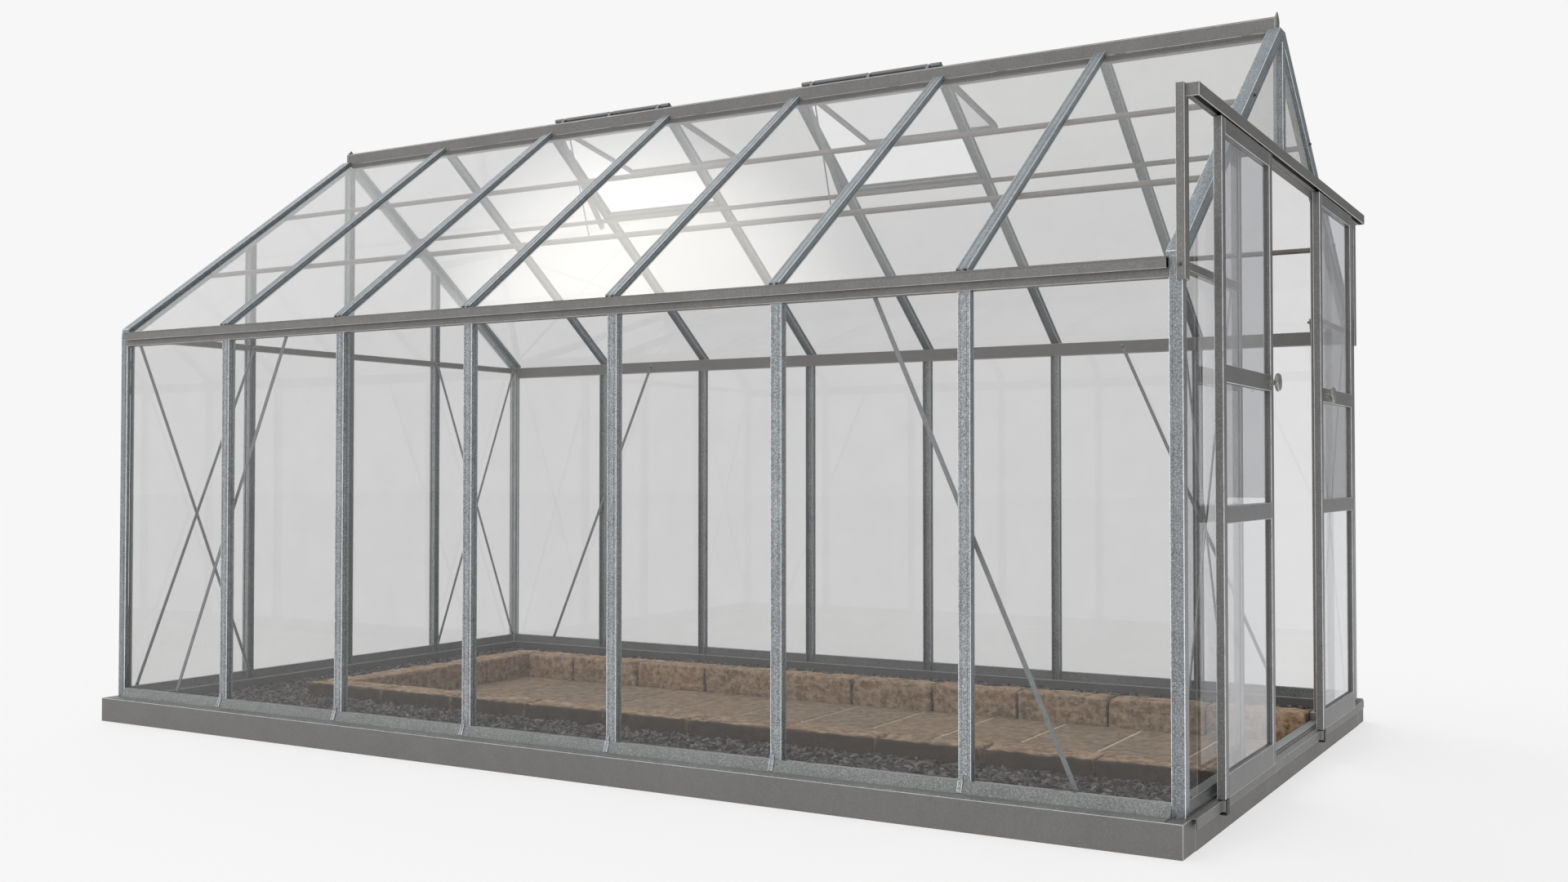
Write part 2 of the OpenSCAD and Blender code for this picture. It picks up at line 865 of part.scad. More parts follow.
module near_roller_a() {
  color([0.15, 0.15, 0.15])
    roller(near_y + hang_inset);
}
module near_roller_b() {
  color([0.15, 0.15, 0.15])
    roller(near_y + door_w - hang_inset);
}
module far_door_stiles() {
  color([0.58, 0.58, 0.57])
    translate([0, far_y, 0])
      door_stiles();
}
module far_door_rails() {
  color([0.54, 0.54, 0.54])
    translate([0, far_y, 0])
      door_rails();
}
module far_door_glass() {
  color([0.78, 0.83, 0.86, 0.35])
    translate([0, far_y, 0])
      door_panes();
}
module far_door_knob() {
  color([0.55, 0.54, 0.53])
    translate([0, far_y, 0])
      knob(hang_inset);
}
module far_door_hangers() {
  color([0.50, 0.50, 0.50])
    translate([0, far_y, 0]) {
      hanger(hang_inset);
      hanger(door_w - hang_inset);
    }
}
module far_door_guide() {
  color([0.30, 0.30, 0.30])
    translate([0, far_y, 0])
      guide();
}
module far_roller_a() {
  color([0.15, 0.15, 0.15])
    roller(far_y + hang_inset);
}
module far_roller_b() {
  color([0.15, 0.15, 0.15])
    roller(far_y + door_w - hang_inset);
}

// ---------------- vents ----------------
vent_xa = (3 - 0.5 - bays / 2) * bay;
vent_xb = (bays - 2.5 - bays / 2) * bay;
module vent_sills() {
  color([0.60, 0.61, 0.61])
    far_slope()
      for (x = [vent_xa, vent_xb]) {
        box(x - bay / 2 + cap_w / 2, x + bay / 2 - cap_w / 2, sill_s0 + 8, sill_s1 - 8, -roof_inner_d, 6);
        box(x - bay / 2 + web_w / 2 + glass_gap, x + bay / 2 - web_w / 2 - glass_gap,
          sill_s0, sill_s1, -glass_t, 0);
      }
}
module vent_hinge_bars() {
  color([0.52, 0.52, 0.51])
    for (x = [vent_xa, vent_xb]) {
      translate([x - vent_w / 2 + 4, hinge_y, hinge_z])
        rotate([0, 90, 0])
          cylinder(r = hinge_r, h = vent_w - 8);
      for (u = [-lug_x, 0, lug_x]) {
        along_x(x + u - lug_l / 2, x + u + lug_l / 2)
          polygon([[-7, ridge_z1], [8, ridge_z1], [hinge_y + 5, hinge_z - 4], [hinge_y + 5, hinge_z + 2],
            [hinge_y - 2, hinge_z + 6], [hinge_y - 8, hinge_z + 3]]);
      }
    }
}
// closed vent in roof coordinates, hinge barrel cut away round the lugs
module vent_closed() {
  w = vent_w / 2;
  difference() {
    union() {
      box(-w, w, vent_s0, vent_s0 + 24, vent_n0, vent_n1);
      along_x(-w, w)
        polygon([[hinge_s, hinge_n - 4.5], [vent_s0 + 6, vent_n1 - 1], [vent_s0 + 16, vent_n1 - 1],
          [vent_s0 + 16, vent_n1 + 2], [hinge_s + 2, hinge_n + 7]]);
      translate([-w, hinge_s, hinge_n])
        rotate([0, 90, 0])
          cylinder(r = 8.5, h = vent_w);
    }
    translate([-w - 1, hinge_s, hinge_n])
      rotate([0, 90, 0])
        cylinder(r = hinge_r + pin_gap, h = vent_w + 2);
    for (u = [-lug_x, 0, lug_x])
      translate([u - lug_l / 2 - 1.5, hinge_s, hinge_n])
        rotate([0, 90, 0])
          cylinder(r = 17, h = lug_l + 3);
  }
  for (m = [0, 1])
    mirror([m, 0, 0])
      box(w - vent_bar, w, vent_s0 + 24 + seam, vent_s0 + vent_l - 18 - seam, vent_n0, vent_n1);
  box(-w, w, vent_s0 + vent_l - 18, vent_s0 + vent_l, vent_n0, vent_n1 - 6);
}
// the stay is a thin rod fixed under the left side bar that hangs through the opening
module vent_stay() {
  translate([-stay_x, 0, 0])
    along_x(-stay_r, stay_r)
      polygon([[stay_s0, vent_n0 - seam], [stay_s0 + 2 * stay_r, vent_n0 - seam],
        [stay_s1 + 2 * stay_r, stay_n1], [stay_s1, stay_n1]]);
}
stay_s0 = 66;
stay_s1 = 292;
stay_n1 = -400;
module vent_pane() {
  w = vent_w / 2 - vent_bar;
  box(-w, w, vent_s0 + 24, vent_s0 + vent_l - 18, vent_n0 + 6, vent_n0 + 6 + glass_t);
}
module opened(x) {
  translate([x, hinge_y, hinge_z])
    rotate([vent_open, 0, 0])
      translate([0, -hinge_y, -hinge_z])
        far_slope()
          children();
}
module vent_a_frame() {
  color([0.60, 0.60, 0.59])
    opened(vent_xa) {
      vent_closed();
      vent_stay();
    }
}
module vent_b_frame() {
  color([0.60, 0.60, 0.59])
    opened(vent_xb) {
      vent_closed();
      vent_stay();
    }
}
module vent_a_glass() {
  color([0.82, 0.86, 0.86, 0.35])
    opened(vent_xa)
      vent_pane();
}
module vent_b_glass() {
  color([0.82, 0.86, 0.86, 0.35])
    opened(vent_xb)
      vent_pane();
}
module arm_brackets() {
  color([0.50, 0.50, 0.50])
    for (x = [vent_xa, vent_xb]) {
      box(x - arm_x + 2, x - arm_x + 6, ridge_half, arm_y + 8, ridge_z0 + 2, ridge_z0 + 22);
      translate([x - arm_x - arm_t - 1, arm_y, arm_z])
        rotate([0, 90, 0])
          cylinder(r = pin_r, h = arm_t + 4);
      translate([x - arm_x + 0.4, arm_y, arm_z])
        rotate([0, 90, 0])
          cylinder(r = 6, h = 2);
      translate([x - arm_x - arm_t - 1.6, arm_y, arm_z])
        rotate([0, 90, 0])
          cylinder(r = 6, h = 1.2);
    }
}
module arm(x) {
  translate([x - arm_x - arm_t, arm_y, arm_z])
    rotate([90, 0, 90])
      rotate(-arm_angle)
        linear_extrude(height = arm_t)
          difference() {
            union() {
              circle(r = arm_neck);
              translate([0, -arm_neck])
                square([61, 2 * arm_neck]);
              translate([60, -arm_w / 2])
                square([arm_l - arm_w / 2 - 60, arm_w]);
              translate([arm_l - arm_w / 2, 0])
                circle(r = arm_w / 2);
            }
            circle(r = pin_r + pin_gap);
            for (a = [120, 200, 280, 360])
              translate([a, 0])
                circle(r = 4);
          }
}
module arm_a() {
  color([0.55, 0.55, 0.56])
    arm(vent_xa);
}
module arm_b() {
  color([0.55, 0.55, 0.56])
    arm(vent_xb);
}

// ---------------- floor ----------------
module bedding() {
  color([0.62, 0.56, 0.46])
    box(-in_x, in_x, -in_y, in_y, 0, bed_t);
}
module gravel_bed() {
  color([0.27, 0.25, 0.23])
    union() {
      box(path_x0 + seam, in_x, path_y1, in_y, bed_t, gravel_h);
      box(path_x0 + seam, in_x, -in_y, path_y0, bed_t, gravel_h);
      box(-in_x, path_x0, -in_y, in_y, bed_t, gravel_h);
    }
}
module stone(x0, x1, y0, y1) {
  box(x0 + joint / 2, x1 - joint / 2, y0 + joint / 2, y1 - joint / 2, bed_t, kerb_h);
}
end_n = 3;
end_l = (path_w - kerb_w) / end_n;
module kerb_row(x0, y0) {
  for (k = [0 : kerb_n - 1])
    stone(k == kerb_n - 1 ? x0 : path_x1 - (k + 1) * kerb_l, path_x1 - k * kerb_l, y0, y0 + kerb_w);
}
module kerb_stones() {
  color([0.62, 0.53, 0.44]) {
    kerb_row(path_x0, path_y0);
    kerb_row(path_x0 + kerb_w, path_y1 - kerb_w);
    for (k = [0 : end_n - 1])
      stone(path_x0, path_x0 + kerb_w, path_y1 - (k + 1) * end_l, path_y1 - k * end_l);
  }
}
slab_n = 6;
module paving_stones() {
  x0 = path_x0 + kerb_w;
  dx = (in_x - x0) / slab_n;
  y0 = path_y0 + kerb_w;
  y1 = path_y1 - kerb_w;
  ym = y0 + 0.56 * (y1 - y0);
  color([0.58, 0.52, 0.45])
    for (k = [0 : slab_n - 1]) {
      slab(x0 + k * dx, x0 + (k + 1) * dx, y0, ym);
      slab(x0 + k * dx, x0 + (k + 0.5) * dx, ym, y1);
      slab(x0 + (k + 0.5) * dx, x0 + (k + 1) * dx, ym, y1);
    }
}
module slab(x0, x1, y0, y1) {
  box(x0 + joint / 2, x1 - joint / 2, y0 + joint / 2, y1 - joint / 2, bed_t, bed_t + slab_t);
}

base_long_rails();
base_end_rails();
long_sills();
gable_sills();
door_threshold();
corner_posts();
near_wall_bars();
far_wall_bars();
eave_bars();
near_roof_bars();
far_roof_bars();
gable_rafters();
ridge_bar();
ridge_caps();
back_gable_posts();
gable_crossbars();
door_jambs();
door_header();
door_gable_mullion();
top_track();
track_supports();
track_brackets();
bottom_track();
purlins();
wall_braces();
gable_braces();
wall_glass();
roof_glass();
back_gable_glass();
door_gable_glass();
vent_sills();
vent_hinge_bars();
arm_brackets();
frame_bolts();
gravel_bed();
kerb_stones();
paving_stones();
bedding();
near_door_stiles();
near_door_rails();
near_door_glass();
near_door_knob();
near_door_hangers();
near_door_guide();
near_roller_a();
near_roller_b();
far_door_stiles();
far_door_rails();
far_door_glass();
far_door_knob();
far_door_hangers();
far_door_guide();
far_roller_a();
far_roller_b();
vent_a_frame();
vent_a_glass();
vent_b_frame();
vent_b_glass();
arm_a();
arm_b();
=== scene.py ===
"""Looks for the walk-in gable greenhouse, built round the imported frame. Metres."""
import json
import math
import random

import bmesh
import bpy
from mathutils import Matrix, Vector, noise


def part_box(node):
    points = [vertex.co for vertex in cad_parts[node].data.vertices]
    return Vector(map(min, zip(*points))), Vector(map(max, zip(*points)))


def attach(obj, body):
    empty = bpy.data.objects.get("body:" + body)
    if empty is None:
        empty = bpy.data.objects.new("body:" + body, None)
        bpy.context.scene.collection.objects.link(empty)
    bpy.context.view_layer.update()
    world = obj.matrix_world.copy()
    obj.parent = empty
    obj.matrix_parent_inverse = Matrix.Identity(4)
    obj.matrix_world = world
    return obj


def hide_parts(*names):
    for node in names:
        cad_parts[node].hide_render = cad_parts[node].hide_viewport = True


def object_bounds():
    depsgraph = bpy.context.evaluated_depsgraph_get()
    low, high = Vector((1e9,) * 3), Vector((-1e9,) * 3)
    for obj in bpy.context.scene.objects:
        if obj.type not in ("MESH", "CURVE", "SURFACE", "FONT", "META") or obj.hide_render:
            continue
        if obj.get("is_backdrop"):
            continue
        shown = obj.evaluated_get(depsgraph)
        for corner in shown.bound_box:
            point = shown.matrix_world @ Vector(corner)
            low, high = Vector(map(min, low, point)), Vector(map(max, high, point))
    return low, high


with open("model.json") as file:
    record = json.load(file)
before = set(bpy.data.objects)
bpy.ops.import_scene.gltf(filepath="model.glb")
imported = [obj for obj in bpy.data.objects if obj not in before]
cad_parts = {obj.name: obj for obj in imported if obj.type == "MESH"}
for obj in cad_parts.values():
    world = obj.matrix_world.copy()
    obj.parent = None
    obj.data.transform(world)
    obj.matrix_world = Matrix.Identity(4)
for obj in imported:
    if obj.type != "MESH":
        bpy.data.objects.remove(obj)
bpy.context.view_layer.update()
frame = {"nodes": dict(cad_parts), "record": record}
scene = bpy.context.scene
scene.view_settings.view_transform = "Standard"


# ---------------------------------------------------------------- node helpers
def hex_colour(code, alpha=1.0):
    """A display colour such as 8b8a84 as the linear colour that shaders take."""
    out = []
    for start in (0, 2, 4):
        value = int(code[start:start + 2], 16) / 255
        out.append(value / 12.92 if value <= 0.04045 else ((value + 0.055) / 1.055) ** 2.4)
    return (*out, alpha)


def add(tree, kind, inputs=None, **settings):
    """A node with its settings and inputs; an input may be a value or another node's output."""
    made = tree.nodes.new(kind)
    for name, value in settings.items():
        setattr(made, name, value)
    for key, value in (inputs or {}).items():
        socket = made.inputs[key]
        if isinstance(value, bpy.types.NodeSocket):
            tree.links.new(value, socket)
        else:
            socket.default_value = value
    return made


def maths(tree, operation, a, b=0.0, clamp=False):
    return add(tree, "ShaderNodeMath", {0: a, 1: b}, operation=operation, use_clamp=clamp).outputs[0]


def span(tree, value, low, high, to_low=0.0, to_high=1.0, smooth=False):
    """value mapped from low..high to to_low..to_high, clamped."""
    kind = "SMOOTHSTEP" if smooth else "LINEAR"
    return add(tree, "ShaderNodeMapRange",
               {"Value": value, "From Min": low, "From Max": high, "To Min": to_low, "To Max": to_high},
               interpolation_type=kind).outputs["Result"]


def blend(tree, share, a, b, mode="MIX"):
    """Colour a going to colour b by share."""
    made = tree.nodes.new("ShaderNodeMix")
    made.data_type = "RGBA"
    made.blend_type = mode
    for socket, value in ((made.inputs[0], share), (made.inputs[6], a), (made.inputs[7], b)):
        if isinstance(value, bpy.types.NodeSocket):
            tree.links.new(value, socket)
        else:
            socket.default_value = value
    return made.outputs[2]


def grain_noise(tree, where, scale, detail=3.0, roughness=0.55, stretch=None):
    if stretch is not None:
        where = add(tree, "ShaderNodeMapping", {"Vector": where, "Scale": stretch}).outputs[0]
    return add(tree, "ShaderNodeTexNoise",
               {"Vector": where, "Scale": scale, "Detail": detail, "Roughness": roughness}).outputs["Fac"]


def effect(name, inputs, outputs):
    """A shader node group with named sockets: returns the group, its input node and its output node."""
    group = bpy.data.node_groups.new(name, "ShaderNodeTree")
    for label, kind, value in inputs:
        socket = group.interface.new_socket(label, in_out="INPUT", socket_type=kind)
        socket.default_value = value
    for label, kind in outputs:
        group.interface.new_socket(label, in_out="OUTPUT", socket_type=kind)
    return group, group.nodes.new("NodeGroupInput"), group.nodes.new("NodeGroupOutput")


FLOAT = "NodeSocketFloat"
COLOUR = "NodeSocketColor"


def galvanised_group():
    """Zinc speckle, soft blotches and bright rounded corners on rolled metal: the corners show wear and
    carry a painted highlight.
    """
    group, given, result = effect(
        "galvanised_surface",
        [("Dark", COLOUR, (0.2, 0.2, 0.2, 1)), ("Light", COLOUR, (0.4, 0.4, 0.4, 1)),
         ("Fleck_and_Edge_Highlight", COLOUR, (0.7, 0.72, 0.75, 1)), ("Speckle", FLOAT, 0.5), ("Fleck", FLOAT, 0.2),
         ("Roughness", FLOAT, 0.42)],
        [("Colour", COLOUR), ("Roughness", FLOAT), ("Height", FLOAT)])
    where = add(group, "ShaderNodeTexCoord").outputs["Object"]
    speck = grain_noise(group, where, 260.0, 2.0, 0.7)
    spangle = add(group, "ShaderNodeTexVoronoi", {"Vector": where, "Scale": 110.0}).outputs["Distance"]
    blotch = grain_noise(group, where, 5.0, 4.0, 0.6)
    streak = grain_noise(group, where, 34.0, 2.0, 0.5)
    share = maths(group, "MULTIPLY", span(group, speck, 0.3, 0.7, -0.5, 0.5), given.outputs["Speckle"])
    share = maths(group, "ADD", share, span(group, spangle, 0.0, 0.9, 0.42, 0.6))
    share = maths(group, "ADD", share, span(group, blotch, 0.25, 0.75, -0.22, 0.22))
    share = maths(group, "ADD", share, span(group, streak, 0.25, 0.75, -0.1, 0.1), clamp=True)
    body = blend(group, share, given.outputs["Dark"], given.outputs["Light"])
    fleck = span(group, grain_noise(group, where, 210.0, 2.0, 0.75), 0.5, 0.68)
    fleck = maths(group, "MULTIPLY", fleck, given.outputs["Fleck"])
    body = blend(group, fleck, body, given.outputs["Fleck_and_Edge_Highlight"])
    # Painted highlight: the rounded corners, rubbed by wear, are blended to the bright edge tone.
    worn_highlight = add(group, "ShaderNodeAttribute", attribute_name="worn_highlight_edge").outputs["Fac"]
    patchy_worn_highlight = maths(group, "MULTIPLY", worn_highlight, span(group, streak, 0.2, 0.6, 0.55, 1.0))
    group.links.new(blend(group, patchy_worn_highlight, body, given.outputs["Fleck_and_Edge_Highlight"]), result.inputs["Colour"])
    rough = maths(group, "ADD", given.outputs["Roughness"], span(group, speck, 0.3, 0.7, -0.08, 0.1))
    rough = maths(group, "ADD", rough, span(group, blotch, 0.3, 0.7, -0.05, 0.05))
    rough = maths(group, "SUBTRACT", rough, maths(group, "MULTIPLY", worn_highlight, 0.12), clamp=True)
    group.links.new(rough, result.inputs["Roughness"])
    crystals = maths(group, "MULTIPLY", spangle, 0.3)
    height = maths(group, "ADD", maths(group, "MULTIPLY", speck, 0.7), crystals)
    group.links.new(height, result.inputs["Height"])
    return group


def dust_group():
    """Earth splashed up from the ground: thick near the floor and gone higher up."""
    group, given, result = effect(
        "ground_dust",
        [("Colour", COLOUR, (0.3, 0.3, 0.3, 1)), ("Dust", COLOUR, (0.2, 0.17, 0.14, 1)),
         ("Reach", FLOAT, 0.12), ("Amount", FLOAT, 0.35)],
        [("Colour", COLOUR)])
    where = add(group, "ShaderNodeTexCoord").outputs["Object"]
    height = add(group, "ShaderNodeSeparateXYZ", {"Vector": where}).outputs["Z"]
    low = maths(group, "SUBTRACT", 1.0, maths(group, "DIVIDE", height, given.outputs["Reach"]), clamp=True)
    cloud = span(group, grain_noise(group, where, 14.0, 5.0, 0.65), 0.35, 0.7)
    share = maths(group, "MULTIPLY", maths(group, "MULTIPLY", low, cloud), given.outputs["Amount"])
    dusted = blend(group, share, given.outputs["Colour"], given.outputs["Dust"])
    group.links.new(dusted, result.inputs["Colour"])
    return group


def stone_group():
    """Bedded sandstone: warm patches, fine sand grain, dark pits, pale flaws and painted shade on the shaded
    sides.
    """
    group, given, result = effect(
        "sandstone",
        [("Ground", COLOUR, (0.3, 0.24, 0.18, 1)), ("Warm", COLOUR, (0.4, 0.28, 0.2, 1)),
         ("Pale", COLOUR, (0.5, 0.42, 0.33, 1)), ("Dark", COLOUR, (0.08, 0.06, 0.05, 1)),
         ("Patch", FLOAT, 6.0), ("Stain", FLOAT, 0.5)],
        [("Colour", COLOUR), ("Roughness", FLOAT), ("Height", FLOAT)])
    where = add(group, "ShaderNodeTexCoord").outputs["Object"]
    tone = add(group, "ShaderNodeAttribute", attribute_name="stone_tone").outputs["Fac"]
    painted_shade = add(group, "ShaderNodeAttribute", attribute_name="stone_painted_shade").outputs["Fac"]
    patch = grain_noise(group, where, given.outputs["Patch"], 5.0, 0.6)
    beds = grain_noise(group, where, 16.0, 4.0, 0.6, stretch=(1.0, 1.0, 3.2))
    sand = grain_noise(group, where, 210.0, 3.0, 0.7)
    pits = grain_noise(group, where, 62.0, 3.0, 0.6)
    own_warmth = span(group, tone, 0.0, 1.0, -0.35, 0.35)
    warmth = maths(group, "ADD", span(group, patch, 0.32, 0.68), own_warmth, clamp=True)
    colour = blend(group, warmth, given.outputs["Ground"], given.outputs["Warm"])
    colour = blend(group, span(group, beds, 0.5, 0.72, 0.0, 0.7), colour, given.outputs["Pale"])
    stained = maths(group, "MULTIPLY", span(group, pits, 0.55, 0.75), given.outputs["Stain"])
    colour = blend(group, stained, colour, given.outputs["Dark"])
    fade = span(group, grain_noise(group, where, 34.0, 4.0, 0.65), 0.42, 0.66, 0.0, 0.75)
    colour = blend(group, fade, colour, given.outputs["Pale"])
    colour = blend(group, span(group, sand, 0.3, 0.7, 0.0, 0.3), colour, given.outputs["Dark"], "MULTIPLY")
    # Painted shade: faces on the near side of the course are darkened towards the dark tone.
    colour = blend(group, maths(group, "MULTIPLY", painted_shade, 0.9), colour, given.outputs["Dark"])
    group.links.new(colour, result.inputs["Colour"])
    group.links.new(span(group, sand, 0.3, 0.7, 0.78, 0.96), result.inputs["Roughness"])
    height = maths(group, "ADD", maths(group, "MULTIPLY", sand, 0.35), maths(group, "MULTIPLY", pits, 0.65))
    group.links.new(height, result.inputs["Height"])
    return group


GALVANISED = galvanised_group()
DUST = dust_group()
SANDSTONE = stone_group()


SPLASHED_EARTH = "6f665c"
GLASS_IOR = 1.45
ANTI_GLARE = 0.16
UNSEEN_GLASS = 0.97


def new_finish(name):
    """A material with its Principled shader, which every finish below fills in."""
    made = bpy.data.materials.new(name)
    made.use_nodes = True
    tree = made.node_tree
    return made, tree, tree.nodes["Principled BSDF"]


def use_group(tree, group, values):
    """A shader group placed in a material with its own values; returns the group's outputs."""
    placed = tree.nodes.new("ShaderNodeGroup")
    placed.node_tree = group
    for key, value in values.items():
        if isinstance(value, bpy.types.NodeSocket):
            tree.links.new(value, placed.inputs[key])
        else:
            placed.inputs[key].default_value = value
    return placed.outputs


def raise_grain(tree, shader, height, distance, strength=0.6):
    bump = add(tree, "ShaderNodeBump", {"Height": height, "Distance": distance, "Strength": strength})
    tree.links.new(bump.outputs["Normal"], shader.inputs["Normal"])


def rolled_metal(name, dark, light, edge, metallic, rough, speckle, fleck=0.15, dust=0.0, reach=0.14):
    """A galvanised or mill-finish metal between two display tones, with bright flecks and rounded corners
    that show wear and carry a painted highlight.
    """
    made, tree, shader = new_finish(name)
    # edge is the bright tone of the flecks and of the painted highlight on the rounded corners.
    zinc = use_group(tree, GALVANISED, {"Dark": hex_colour(dark), "Light": hex_colour(light),
                                        "Fleck_and_Edge_Highlight": hex_colour(edge), "Speckle": speckle, "Fleck": fleck,
                                        "Roughness": rough})
    colour = zinc["Colour"]
    if dust:
        earth = use_group(tree, DUST, {"Colour": colour, "Dust": hex_colour(SPLASHED_EARTH),
                                       "Reach": reach, "Amount": dust})
        colour = earth["Colour"]
    tree.links.new(colour, shader.inputs["Base Color"])
    tree.links.new(zinc["Roughness"], shader.inputs["Roughness"])
    shader.inputs["Metallic"].default_value = metallic
    raise_grain(tree, shader, zinc["Height"], 0.0004, 0.35)
    return made


def glazing(name, tint, film, wave=0.00001):
    """Horticultural glass, faintly wavy with a trace of film, and clear to the light on the plants."""
    made, tree, shader = new_finish(name)
    where = add(tree, "ShaderNodeTexCoord").outputs["Object"]
    ripple = grain_noise(tree, where, 2.6, 0.0, 0.4)
    smear = grain_noise(tree, where, 6.0, 4.0, 0.6)
    trace = span(tree, smear, 0.35, 0.75, 0.0, 1.0)
    tree.links.new(blend(tree, trace, hex_colour(tint), hex_colour(film)), shader.inputs["Base Color"])
    shader.inputs["Base Color"].default_value = hex_colour(tint)
    tree.links.new(span(tree, smear, 0.55, 0.85, 0.0, 0.006), shader.inputs["Roughness"])
    shader.inputs["Transmission Weight"].default_value = 1.0
    shader.inputs["IOR"].default_value = GLASS_IOR
    shader.inputs["Specular IOR Level"].default_value = ANTI_GLARE
    raise_grain(tree, shader, maths(tree, "MULTIPLY", ripple, wave), 1.0, 1.0)
    path = add(tree, "ShaderNodeLightPath")
    through = maths(tree, "MAXIMUM", path.outputs["Is Shadow Ray"], path.outputs["Is Diffuse Ray"])
    clear = add(tree, "ShaderNodeBsdfTransparent", {"Color": (UNSEEN_GLASS, UNSEEN_GLASS, UNSEEN_GLASS, 1)})
    both = add(tree, "ShaderNodeMixShader", {0: through, 1: shader.outputs[0], 2: clear.outputs[0]})
    tree.links.new(both.outputs[0], tree.nodes["Material Output"].inputs["Surface"])
    return made


def worked_stone(name, ground, warm, pale, dark, patch, stain, relief):
    """Sandstone, sand or mortar in four display tones; relief is the depth of its grain."""
    made, tree, shader = new_finish(name)
    rock = use_group(tree, SANDSTONE, {"Ground": hex_colour(ground), "Warm": hex_colour(warm),
                                       "Pale": hex_colour(pale), "Dark": hex_colour(dark),
                                       "Patch": patch, "Stain": stain})
    tree.links.new(rock["Colour"], shader.inputs["Base Color"])
    tree.links.new(rock["Roughness"], shader.inputs["Roughness"])
    shader.inputs["Specular IOR Level"].default_value = 0.3
    raise_grain(tree, shader, rock["Height"], relief, 0.8)
    return made


def slate_chips():
    """Dark slate chippings, each one its own tone, with paler dusty faces."""
    made, tree, shader = new_finish("slate_chippings")
    where = add(tree, "ShaderNodeTexCoord").outputs["Object"]
    tone = add(tree, "ShaderNodeAttribute", attribute_name="chip_tone").outputs["Fac"]
    flake = grain_noise(tree, where, 150.0, 4.0, 0.7, stretch=(0.6, 1.8, 1.8))
    fine = grain_noise(tree, where, 480.0, 2.0, 0.6)
    drift = grain_noise(tree, where, 4.0, 3.0, 0.6)
    colour = blend(tree, tone, hex_colour("141110"), hex_colour("958d8a"))
    colour = blend(tree, span(tree, flake, 0.46, 0.7, 0.0, 0.5), colour, hex_colour("4c4543"))
    colour = blend(tree, span(tree, fine, 0.52, 0.75, 0.0, 0.35), colour, hex_colour("8f8785"))
    colour = blend(tree, span(tree, drift, 0.3, 0.7, 0.0, 0.25), colour, hex_colour("2e2826"))
    tree.links.new(colour, shader.inputs["Base Color"])
    tree.links.new(span(tree, flake, 0.3, 0.7, 0.55, 0.85), shader.inputs["Roughness"])
    raise_grain(tree, shader, flake, 0.0015, 0.7)
    return made


def dark_plastic(name, base, mark, rough):
    """Moulded plastic with paler scuffs."""
    made, tree, shader = new_finish(name)
    where = add(tree, "ShaderNodeTexCoord").outputs["Object"]
    mould = grain_noise(tree, where, 300.0, 3.0, 0.6)
    scuff = grain_noise(tree, where, 40.0, 5.0, 0.7)
    colour = blend(tree, span(tree, scuff, 0.5, 0.75, 0.0, 0.6), hex_colour(base), hex_colour(mark))
    tree.links.new(colour, shader.inputs["Base Color"])
    tree.links.new(span(tree, mould, 0.3, 0.7, rough - 0.1, rough + 0.1), shader.inputs["Roughness"])
    raise_grain(tree, shader, mould, 0.0003, 0.4)
    return made


# metal: dark, light and edge-wear tones (the last is also the painted highlight on the rounded corners),
# metallic, roughness, speckle, fleck, earth near the ground and its reach
METALS = {
    "plinth_steel": ("636261", "767574", "b9b9b7", 0.3, 0.5, 0.4, 0.1, 0.3, 0.09),
    "sill_aluminium": ("606363", "8a8d8c", "c6cac9", 0.3, 0.45, 1.1, 0.35, 0.2),
    "bar_aluminium": ("5e6265", "a2a7aa", "f4f8fa", 0.45, 0.4, 1.3, 0.4),
    # The corner posts' copy of the bar aluminium, darker and glossier: painted shade on the same metal.
    "shaded_post_aluminium": ("5a5e61", "8e9295", "f4f8fa", 0.45, 0.36, 1.2, 0.3),
    "roof_bar_aluminium": ("5a6267", "939ba0", "e2e9ed", 0.45, 0.4, 1.2, 0.4),
    "rail_aluminium": ("605f5e", "807e7c", "c0bfbc", 0.3, 0.46, 0.6, 0.12),
    "track_aluminium": ("605f5e", "7b7a78", "d0d0cd", 0.3, 0.45, 0.5),
    "purlin_steel": ("605c58", "827d78", "bdb9b4", 0.45, 0.38, 0.6),
    "brace_steel": ("696b6d", "939698", "e0e3e4", 0.45, 0.38, 0.6),
    "bolt_steel": ("3a3a3b", "6a6a6b", "9a9a9a", 0.7, 0.35, 0.5),
    "vent_aluminium": ("646567", "858688", "c6c9ca", 0.35, 0.44, 0.7),
    "door_aluminium": ("616060", "7c7b7a", "d5d7d8", 0.3, 0.42, 0.6),
    "knob_metal": ("87867f", "b9b8b4", "f0f0ee", 0.8, 0.25, 0.25, 0.1),
    "hanger_steel": ("5c5e60", "828486", "c0c2c4", 0.6, 0.4, 0.5),
}
# stone: ground, warm, pale and dark tones, patches per metre, stain, depth of the grain
STONES = {
    "kerb_stone": ("857059", "9c7b60", "cdb79c", "33261d", 7.0, 0.95, 0.005),
    "paving_stone": ("837260", "93785f", "b09d86", "4a3c32", 4.0, 0.6, 0.0025),
    "bedding_sand": ("9c8c74", "a8957a", "c0b094", "6b5d4b", 5.0, 0.3, 0.003),
    "mortar": ("cbbfa8", "d2c2a4", "e6dcc6", "8d7e6a", 12.0, 0.25, 0.003),
}
FINISH = {name: rolled_metal(name, *tones) for name, tones in METALS.items()}
FINISH.update({name: worked_stone(name, *tones) for name, tones in STONES.items()})
FINISH["clear_glass"] = glazing("clear_glass", "e6e6e6", "e9e9e9")
FINISH["door_glass"] = glazing("door_glass", "dddee2", "e0e1e4")
FINISH["gravel"] = slate_chips()
FINISH["guide_plastic"] = dark_plastic("guide_plastic", "1c1c1d", "4a4a4a", 0.5)
